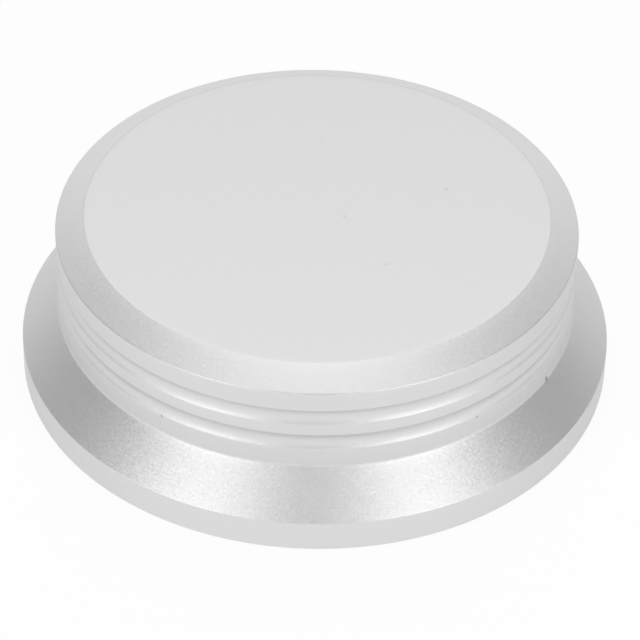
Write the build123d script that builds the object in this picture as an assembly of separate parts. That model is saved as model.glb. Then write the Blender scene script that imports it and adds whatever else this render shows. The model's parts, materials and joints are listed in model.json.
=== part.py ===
"""Record weight: a puck turned from one bar of aluminium, with a blind hole that drops over a turntable's spindle.

Lengths are in millimetres and angles in degrees. The origin is the centre of the foot, and +Z is up the turning axis.
"""

import os
from math import radians, tan

from build123d import *

# Driving dimensions of the outside, from the foot up
total_height = 24.0
flange_rim_height = 4.45
flange_width = 5.0
flange_slope = 47.2
body_diameter = 70.0
body_foot_fillet = 0.8
top_chamfer_width = 3.9
top_chamfer_angle = 25.4
edge_fillet = 0.2

# Driving dimensions of the grip grooves in the wall
groove_count = 2
groove_pitch = 4.1
groove_width = 2.35
groove_depth = 0.3
groove_band_rise = 0.1
groove_lip_break = 0.1

# Driving dimensions of the underside
foot_ring_width = 10.0
foot_edge_break = 0.1
relief_depth = 1.0
bore_diameter = 7.4
bore_depth = 16.0
bore_point_angle = 118.0
bore_mouth_chamfer = 0.6

# Radii and heights that follow from the driving dimensions
body_radius = body_diameter / 2
flange_radius = body_radius + flange_width
top_face_radius = body_radius - top_chamfer_width
relief_radius = flange_radius - foot_ring_width
bore_radius = bore_diameter / 2
wall_foot_height = flange_rim_height + flange_width * tan(radians(flange_slope))
wall_top_height = total_height - top_chamfer_width * tan(radians(top_chamfer_angle))
bore_tip_height = bore_depth + bore_radius / tan(radians(bore_point_angle / 2))

# The grooves stand one above the other about a height just over the middle of the wall
groove_band_height = (wall_foot_height + wall_top_height) / 2 + groove_band_rise
groove_heights = [groove_band_height + (n - (groove_count - 1) / 2) * groove_pitch for n in range(groove_count)]
groove_radius = (groove_depth**2 + (groove_width / 2) ** 2) / (2 * groove_depth)
groove_centre_radius = body_radius - groove_depth + groove_radius

# Corners of the half-section that are rounded or broken, as (radius, height)
top_edge = (top_face_radius, total_height)
shoulder = (body_radius, wall_top_height)
waist = (body_radius, wall_foot_height)
flange_edge = (flange_radius, flange_rim_height)
foot_edge = (flange_radius, 0)
relief_edge = (relief_radius, 0)
groove_lips = [(body_radius, height + side * groove_width / 2) for height in groove_heights for side in (-1, 1)]

# All corners of the half-section, from the top's centre round to the bore's point
section_corners = [
    (0, total_height),
    top_edge,
    shoulder,
    waist,
    flange_edge,
    foot_edge,
    relief_edge,
    (relief_radius, relief_depth),
    (bore_radius + bore_mouth_chamfer, relief_depth),
    (bore_radius, relief_depth + bore_mouth_chamfer),
    (bore_radius, bore_depth),
    (0, bore_tip_height),
]


def turned_section():
    """The closed half-section that is turned about the axis, with its grooves cut and its edges rounded or broken."""
    with BuildSketch(Plane.XZ) as section:

        def vertex_at(corner):
            return section.vertices().sort_by_distance(corner)[0]

        with BuildLine():
            Polyline(section_corners, close=True)
        make_face()
        with Locations([(groove_centre_radius, height) for height in groove_heights]):
            Circle(groove_radius, mode=Mode.SUBTRACT)
        for corner in (top_edge, shoulder, flange_edge):
            fillet(vertex_at(corner), edge_fillet)
        fillet(vertex_at(waist), body_foot_fillet)
        for corner in (foot_edge, relief_edge):
            chamfer(vertex_at(corner), foot_edge_break)
        for corner in groove_lips:
            chamfer(vertex_at(corner), groove_lip_break)
    return section.sketch


def weight_body():
    """The whole weight: one solid of revolution."""
    return revolve(turned_section(), Axis.Z)


os.makedirs("parts", exist_ok=True)
export_step(weight_body(), "parts/weight_body.step")
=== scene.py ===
"""Record weight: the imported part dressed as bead-blasted, clear anodised aluminium, in a soft white studio.

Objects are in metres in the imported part's frame: the origin is the centre of the foot, and +Z is up the
turning axis. Named lengths are in millimetres and named angles in degrees. An azimuth is 0 on the camera's
side and grows to the camera's right.
"""

import json
from math import asin, atan2, cos, pi, radians, sin, tan

import bpy
import numpy as np
from mathutils import Matrix, Vector


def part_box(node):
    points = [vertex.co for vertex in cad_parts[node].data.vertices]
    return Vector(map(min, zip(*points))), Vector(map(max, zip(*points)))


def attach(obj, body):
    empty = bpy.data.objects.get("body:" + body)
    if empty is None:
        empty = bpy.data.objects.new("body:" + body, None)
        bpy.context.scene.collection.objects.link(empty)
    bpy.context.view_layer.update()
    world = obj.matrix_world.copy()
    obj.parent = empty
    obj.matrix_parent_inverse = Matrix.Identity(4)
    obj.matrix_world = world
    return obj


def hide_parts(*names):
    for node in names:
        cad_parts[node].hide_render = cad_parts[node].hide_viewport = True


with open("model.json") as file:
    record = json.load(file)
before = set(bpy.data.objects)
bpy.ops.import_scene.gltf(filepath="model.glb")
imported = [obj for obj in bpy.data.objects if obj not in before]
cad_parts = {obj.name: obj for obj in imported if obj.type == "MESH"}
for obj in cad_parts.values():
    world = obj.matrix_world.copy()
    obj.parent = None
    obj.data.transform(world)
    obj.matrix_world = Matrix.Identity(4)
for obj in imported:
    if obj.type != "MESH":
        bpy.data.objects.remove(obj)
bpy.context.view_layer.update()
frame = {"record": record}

mm = 0.001
node_name = "weight_body"
slot_name = "satin_aluminium"

# The turned section: its height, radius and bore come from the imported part, and the rest repeats its sizes
high_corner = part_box(node_name)[1]
mounts = {mount["name"]: mount for mount in frame["record"]["mounts"]}
total_height = high_corner[2] / mm
flange_radius = high_corner[0] / mm
bore_radius = mounts["spindle_bore"]["dims"]["r_mm"]
flange_rim_height = 4.45
flange_width = 5.0
flange_slope = 47.2
body_radius = flange_radius - flange_width
body_foot_fillet = 0.8
top_chamfer_width = 3.9
top_chamfer_angle = 25.4
edge_fillet = 0.2
groove_count = 2
groove_pitch = 4.1
groove_width = 2.35
groove_depth = 0.3
groove_band_rise = 0.1
foot_ring_width = 10.0
foot_edge_break = 0.1
relief_depth = 1.0
bore_depth = 16.0
bore_point_angle = 118.0
bore_mouth_chamfer = 0.6

# Softness that blasting leaves on every edge, and how many times its width it reaches to each side
edge_softness = 0.04
softness_reach = 4

# Fineness of the mesh: a new row comes after a turn of row_turn, a stretch of row_length or a mix of the two
section_step = 0.01
arc_points = 24
row_turn = 5.0
row_length = 3.0
segments = 360

# Finish of the metal: a fine grain tips its surface a little each way, and flecks dull and shade it.
# An edge tint is the share of the glare that stays at a low angle, which is less on the flat top.
metal_colour = 0.73
metal_edge_tint = 0.8
top_edge_tint = 0.35
metal_roughness = 0.5
grain_size = 0.28
grain_tilt = 0.18
fleck_size = 0.36
fleck_dulling = 0.12
fleck_shading = 0.04
noise_middle = 0.5
noise_detail = 1.0

# Specks of dust: where they lie, how wide they are and what share of the metal's brightness they take,
# on the top as (x, y, radius, share) and on the wall as (azimuth, height, radius, share)
top_specks = (
    (3.6, -0.9, 0.42, 0.13),
    (0.4, 15.6, 0.42, 0.08),
    (9.2, -10.9, 0.42, 0.13),
    (17.3, 5.5, 0.4, 0.17),
)
wall_specks = (
    (-33.9, 12.7, 0.36, 0.32),
    (37.2, 12.65, 0.36, 0.34),
    (61.3, 9.9, 0.55, 0.55),
)

# The photograph's camera: where it stands from a point on the axis, what it looks at and how it is tilted
camera_target_height = 12.0
camera_distance = 454.4
camera_elevation = 39.21
camera_aim = (0.656, 0.0, 5.14)
camera_roll = 1.246
camera_lens = 188.2
camera_sensor = 36.0

# The floor: floor_evenness is the share of its look that is an even white, and the rest takes the shadow
floor_size = 40000.0
floor_drop = 0.02
floor_colour = 0.95
floor_glow = 1.0
floor_evenness = 0.9

# The room: its brightness in front, aside and behind, low down and higher up,
# and the angles between which it eases from one to the next
room_low = (0.475, 0.03, 1.58)
room_high = (0.1, 0.39, 1.3)
room_rise = (0.0, 20.0)
front_edge = (20.0, 60.0)
back_edge = (104.0, 154.0)

# The light panels: where they stand, the half angles that they take up as seen from the part, and how bright
softbox_azimuth = 40.3
softbox_elevation = 24.0
softbox_distance = 900.0
softbox_half_width = 16.4
softbox_half_height = 24.0
left_radiance = 2.4
right_radiance = 2.46
overhead_height = 900.0
overhead_half_angle = 25.0
overhead_radiance = 0.99


def arc(centre, radius, start, end):
    """Points of a circular arc in the section, from one angle to another in radians."""
    angles = np.linspace(start, end, arc_points)
    return [(centre[0] + radius * cos(angle), centre[1] + radius * sin(angle)) for angle in angles]


def rounded(before, corner, after, radius):
    """Points of the arc that rounds a corner of the section between the points before and after it."""
    before, corner, after = Vector(before), Vector(corner), Vector(after)
    back, on = (before - corner).normalized(), (after - corner).normalized()
    half_angle = back.angle(on) / 2
    centre = corner + (back + on).normalized() * radius / sin(half_angle)
    start = corner + back * radius / tan(half_angle) - centre
    turn = (pi - 2 * half_angle) * (1 if back.cross(on) < 0 else -1)
    angle = atan2(start.y, start.x)
    return arc(centre, radius, angle, angle + turn)


def section_outline():
    """The half-section as (radius, height) points, from the top's centre round to the bore's point."""
    wall_foot = flange_rim_height + flange_width * tan(radians(flange_slope))
    wall_top = total_height - top_chamfer_width * tan(radians(top_chamfer_angle))
    top_centre = (0, total_height)
    top_edge = (body_radius - top_chamfer_width, total_height)
    shoulder = (body_radius, wall_top)
    waist = (body_radius, wall_foot)
    flange_edge = (flange_radius, flange_rim_height)
    foot_edge = (flange_radius, 0)
    outline = [top_centre]
    outline += rounded(top_centre, top_edge, shoulder, edge_fillet)
    outline += rounded(top_edge, shoulder, waist, edge_fillet)
    band_height = (wall_foot + wall_top) / 2 + groove_band_rise
    groove_radius = (groove_depth**2 + (groove_width / 2) ** 2) / (2 * groove_depth)
    groove_centre = body_radius - groove_depth + groove_radius
    half_angle = asin(groove_width / 2 / groove_radius)
    for n in reversed(range(groove_count)):
        height = band_height + (n - (groove_count - 1) / 2) * groove_pitch
        outline += arc((groove_centre, height), groove_radius, pi - half_angle, pi + half_angle)
    outline += rounded(shoulder, waist, flange_edge, body_foot_fillet)
    outline += rounded(waist, flange_edge, foot_edge, edge_fillet)
    relief_radius = flange_radius - foot_ring_width
    bore_tip_height = bore_depth + bore_radius / tan(radians(bore_point_angle / 2))
    outline += [(flange_radius, foot_edge_break), (flange_radius - foot_edge_break, 0)]
    outline += [(relief_radius + foot_edge_break, 0), (relief_radius, foot_edge_break)]
    outline += [(relief_radius, relief_depth), (bore_radius + bore_mouth_chamfer, relief_depth)]
    outline += [(bore_radius, relief_depth + bore_mouth_chamfer), (bore_radius, bore_depth)]
    outline.append((0, bore_tip_height))
    return np.array(outline)


def softened(outline):
    """The outline as close, evenly spaced points, with every edge rounded a little."""
    along = np.concatenate([[0], np.cumsum(np.hypot(*np.diff(outline, axis=0).T))])
    fine = np.arange(0, along[-1], section_step)
    points = np.column_stack([np.interp(fine, along, outline[:, axis]) for axis in (0, 1)])
    reach = int(softness_reach * edge_softness / section_step)
    kernel = np.exp(-0.5 * (np.arange(-reach, reach + 1) * section_step / edge_softness) ** 2)
    kernel /= kernel.sum()
    lead_in = 2 * points[:1] - points[reach:0:-1]
    lead_out = 2 * points[-1:] - points[-2:-reach - 2:-1]
    padded = np.concatenate([lead_in, points, lead_out])
    soft = np.column_stack([np.convolve(padded[:, axis], kernel, mode="valid") for axis in (0, 1)])
    soft[[0, -1], 0] = 0
    return soft


def mesh_rows(points):
    """The points that become rows of the mesh, which lie close together only at turns, and their normals."""
    tangent = np.gradient(points, axis=0)
    tangent /= np.hypot(*tangent.T)[:, None]
    normal = np.column_stack([-tangent[:, 1], tangent[:, 0]])
    heading = np.unwrap(np.arctan2(tangent[:, 1], tangent[:, 0]))
    turns = np.abs(np.diff(heading)) / radians(row_turn)
    measure = np.concatenate([[0], np.cumsum(turns + section_step / row_length)])
    marks = np.linspace(0, measure[-1], int(measure[-1]) + 1)
    rows = np.interp(marks, measure, np.arange(len(points)))
    rows = np.unique(np.round(rows).astype(int))
    return points[rows], normal[rows]


def lathe(name, points, normals):
    """A mesh object turned from a section about the Z axis, on which its first and last points lie."""
    angles = np.linspace(0, 2 * pi, segments, endpoint=False)
    turn = np.column_stack([np.cos(angles), np.sin(angles)])

    def ring(radius, height):
        return [(radius * x, radius * y, height) for x, y in turn]

    vertices = [(0, 0, points[0, 1] * mm)]
    shading = [(0, 0, 1)]
    for (radius, height), (out, up) in zip(points[1:-1] * mm, normals[1:-1]):
        vertices += ring(radius, height)
        shading += ring(out, up)
    vertices.append((0, 0, points[-1, 1] * mm))
    shading.append((0, 0, -1))
    starts = [1 + row * segments for row in range(len(points) - 2)]
    steps = [(step, (step + 1) % segments) for step in range(segments)]
    faces = [(0, starts[0] + a, starts[0] + b) for a, b in steps]
    for upper, lower in zip(starts, starts[1:]):
        faces += [(upper + a, lower + a, lower + b, upper + b) for a, b in steps]
    last = len(vertices) - 1
    faces += [(last, starts[-1] + b, starts[-1] + a) for a, b in steps]
    mesh = bpy.data.meshes.new(name)
    mesh.from_pydata(vertices, [], faces)
    mesh.shade_smooth()
    mesh.normals_split_custom_set_from_vertices(shading)
    piece = bpy.data.objects.new(name, mesh)
    bpy.context.scene.collection.objects.link(piece)
    return piece


class Nodes:
    """Short way to add nodes to a material or world and to join them."""

    def __init__(self, owner):
        owner.use_nodes = True
        self.tree = owner.node_tree
        self.tree.nodes.clear()

    def add(self, kind, inputs=None, **settings):
        """A new node, whose inputs are joined to the sockets or set to the values that are given."""
        node = self.tree.nodes.new(kind)
        for key, value in settings.items():
            setattr(node, key, value)
        for key, value in (inputs or {}).items():
            if isinstance(value, bpy.types.NodeSocket):
                self.tree.links.new(value, node.inputs[key])
            else:
                node.inputs[key].default_value = value
        return node

    def math(self, operation, *values):
        """The result of an operation on numbers."""
        inputs = dict(enumerate(values))
        return self.add("ShaderNodeMath", inputs, operation=operation).outputs[0]

    def vector(self, operation, *values):
        """The result of an operation on vectors."""
        inputs = dict(enumerate(values))
        return self.add("ShaderNodeVectorMath", inputs, operation=operation).outputs["Vector"]

    def blend(self, value, start, end, low, high):
        """A level that eases from low to high as a value goes from start to end."""
        return self.add("ShaderNodeMapRange", {
            "Value": value,
            "From Min": start,
            "From Max": end,
            "To Min": low,
            "To Max": high,
        }, interpolation_type="SMOOTHSTEP").outputs["Result"]


def specks():
    """Each speck of dust as its centre, its radius and the share of the brightness that it takes."""
    found = [((x, y, total_height), radius, share) for x, y, radius, share in top_specks]
    for azimuth, height, radius, share in wall_specks:
        angle = radians(azimuth)
        centre = (body_radius * sin(angle), -body_radius * cos(angle), height)
        found.append((centre, radius, share))
    return found


def aluminium_material():
    """Bead-blasted, clear anodised aluminium: a satin metal with a fine grain and a few specks of dust."""
    material = bpy.data.materials.new(slot_name)
    nodes = Nodes(material)
    place = nodes.add("ShaderNodeTexCoord").outputs["Object"]

    def noise(size):
        """An even noise, whose cells have the given size."""
        inputs = {"Vector": place, "Scale": 1 / (size * mm), "Detail": noise_detail}
        return nodes.add("ShaderNodeTexNoise", inputs)

    tilt = nodes.vector("SUBTRACT", noise(grain_size).outputs["Color"], (noise_middle,) * 3)
    facing = nodes.add("ShaderNodeNewGeometry").outputs["Normal"]
    tipped = nodes.vector("MULTIPLY_ADD", tilt, (grain_tilt,) * 3, facing)
    normal = nodes.vector("NORMALIZE", tipped)
    fleck = nodes.math("SUBTRACT", noise(fleck_size).outputs["Fac"], noise_middle)
    roughness = nodes.math("MULTIPLY_ADD", fleck, fleck_dulling, metal_roughness)
    shade = nodes.math("MULTIPLY_ADD", fleck, fleck_shading, 1.0)
    for centre, radius, share in specks():
        ends = {0: place, 1: Vector(centre) * mm}
        apart = nodes.add("ShaderNodeVectorMath", ends, operation="DISTANCE").outputs["Value"]
        near = nodes.blend(apart, 0.0, radius * mm, 1 - share, 1.0)
        shade = nodes.math("MULTIPLY", shade, near)
    level = nodes.math("MULTIPLY", shade, metal_colour)
    colour = nodes.add("ShaderNodeCombineColor", {0: level, 1: level, 2: level}).outputs["Color"]
    height = nodes.add("ShaderNodeSeparateXYZ", {0: place}).outputs["Z"]
    top_start = (total_height - edge_fillet) * mm
    edge_tint = nodes.blend(height, top_start, total_height * mm, metal_edge_tint, top_edge_tint)
    shader = nodes.add("ShaderNodeBsdfPrincipled", {
        "Base Color": colour,
        "Metallic": 1.0,
        "Specular Tint": edge_tint,
        "Roughness": roughness,
        "Normal": normal,
    }, distribution="MULTI_GGX")
    nodes.add("ShaderNodeOutputMaterial", {"Surface": shader.outputs[0]})
    return material


def floor_material():
    """A white floor that still takes the part's shadow, and is clear when looked at from below."""
    material = bpy.data.materials.new("floor_white")
    nodes = Nodes(material)
    ray = nodes.add("ShaderNodeLightPath")
    seen = nodes.math("MAXIMUM", ray.outputs["Is Camera Ray"], ray.outputs["Is Glossy Ray"])
    seen = nodes.math("MAXIMUM", seen, ray.outputs["Is Transmission Ray"])
    share = nodes.math("MULTIPLY", seen, floor_evenness)
    white = (floor_colour, floor_colour, floor_colour, 1)
    diffuse = nodes.add("ShaderNodeBsdfDiffuse", {"Color": white})
    glow = nodes.add("ShaderNodeEmission", {"Strength": floor_glow})
    front = nodes.add("ShaderNodeMixShader", {0: share, 1: diffuse.outputs[0], 2: glow.outputs[0]})
    clear = nodes.add("ShaderNodeBsdfTransparent")
    side = nodes.add("ShaderNodeNewGeometry").outputs["Backfacing"]
    both = nodes.add("ShaderNodeMixShader", {0: side, 1: front.outputs[0], 2: clear.outputs[0]})
    nodes.add("ShaderNodeOutputMaterial", {"Surface": both.outputs[0]})
    return material


def make_floor():
    """A wide floor just under the part."""
    half = floor_size / 2
    corners = [(-half, -half), (half, -half), (half, half), (-half, half)]
    mesh = bpy.data.meshes.new("floor")
    mesh.from_pydata([Vector((x, y, -floor_drop)) * mm for x, y in corners], [], [(0, 1, 2, 3)])
    mesh.materials.append(floor_material())
    floor = bpy.data.objects.new("floor", mesh)
    bpy.context.scene.collection.objects.link(floor)


def make_room():
    """The room round the part: bright behind it, and dim to the sides and behind the camera."""
    world = bpy.data.worlds.new("room")
    bpy.context.scene.world = world
    nodes = Nodes(world)
    direction = nodes.add("ShaderNodeTexCoord").outputs["Generated"]
    axes = nodes.add("ShaderNodeSeparateXYZ", {0: direction})
    aside = nodes.math("ABSOLUTE", axes.outputs["X"])
    ahead = nodes.math("MULTIPLY", axes.outputs["Y"], -1.0)
    azimuth = nodes.math("ARCTAN2", aside, ahead)
    elevation = nodes.math("ARCSINE", axes.outputs["Z"])

    def across(angle, edges, low, high):
        """A level that eases from low to high between two angles."""
        start, end = edges
        return nodes.blend(angle, radians(start), radians(end), low, high)

    def belt(levels):
        """A level by azimuth, from the levels in front, aside and behind."""
        front, side, back = levels
        return across(azimuth, back_edge, across(azimuth, front_edge, front, side), back)

    level = across(elevation, room_rise, belt(room_low), belt(room_high))
    background = nodes.add("ShaderNodeBackground", {"Strength": level})
    nodes.add("ShaderNodeOutputWorld", {"Surface": background.outputs[0]})


def make_panel(name, place, width, height, radiance):
    """A soft light panel that faces the part."""
    light = bpy.data.lights.new(name, "AREA")
    light.shape = "RECTANGLE"
    light.size = width * mm
    light.size_y = height * mm
    light.energy = pi * (width * mm) * (height * mm) * radiance
    panel = bpy.data.objects.new(name, light)
    panel.location = Vector(place) * mm
    panel.rotation_euler = Vector(place).to_track_quat("Z", "Y").to_euler()
    panel.visible_camera = False
    bpy.context.scene.collection.objects.link(panel)


def make_lights():
    """A softbox to each side of the camera, and a panel overhead."""
    width = 2 * softbox_distance * tan(radians(softbox_half_width))
    height = 2 * softbox_distance * tan(radians(softbox_half_height))
    level = softbox_distance * cos(radians(softbox_elevation))
    rise = softbox_distance * sin(radians(softbox_elevation))
    softboxes = (("left_softbox", -1, left_radiance), ("right_softbox", 1, right_radiance))
    for name, side, radiance in softboxes:
        azimuth = side * radians(softbox_azimuth)
        make_panel(name, (level * sin(azimuth), -level * cos(azimuth), rise), width, height, radiance)
    overhead = 2 * overhead_height * tan(radians(overhead_half_angle))
    make_panel("overhead_panel", (0, 0, overhead_height), overhead, overhead, overhead_radiance)


def make_camera():
    """A camera at the photograph's place and lens."""
    elevation = radians(camera_elevation)
    direction = Vector((0, -cos(elevation), sin(elevation)))
    place = direction * camera_distance + Vector((0, 0, camera_target_height))
    data = bpy.data.cameras.new("camera")
    data.sensor_width = camera_sensor
    data.lens = camera_lens
    camera = bpy.data.objects.new("camera", data)
    facing = (place - Vector(camera_aim)).to_track_quat("Z", "Y").to_matrix().to_4x4()
    roll = Matrix.Rotation(radians(camera_roll), 4, "Z")
    camera.matrix_world = Matrix.Translation(place * mm) @ facing @ roll
    bpy.context.scene.collection.objects.link(camera)
    bpy.context.scene.camera = camera


body = lathe("weight", *mesh_rows(softened(section_outline())))
body.data.materials.append(aluminium_material())
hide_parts(node_name)
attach(body, "root")
make_floor()
make_room()
make_lights()
make_camera()
bpy.context.scene.view_settings.view_transform = "Standard"
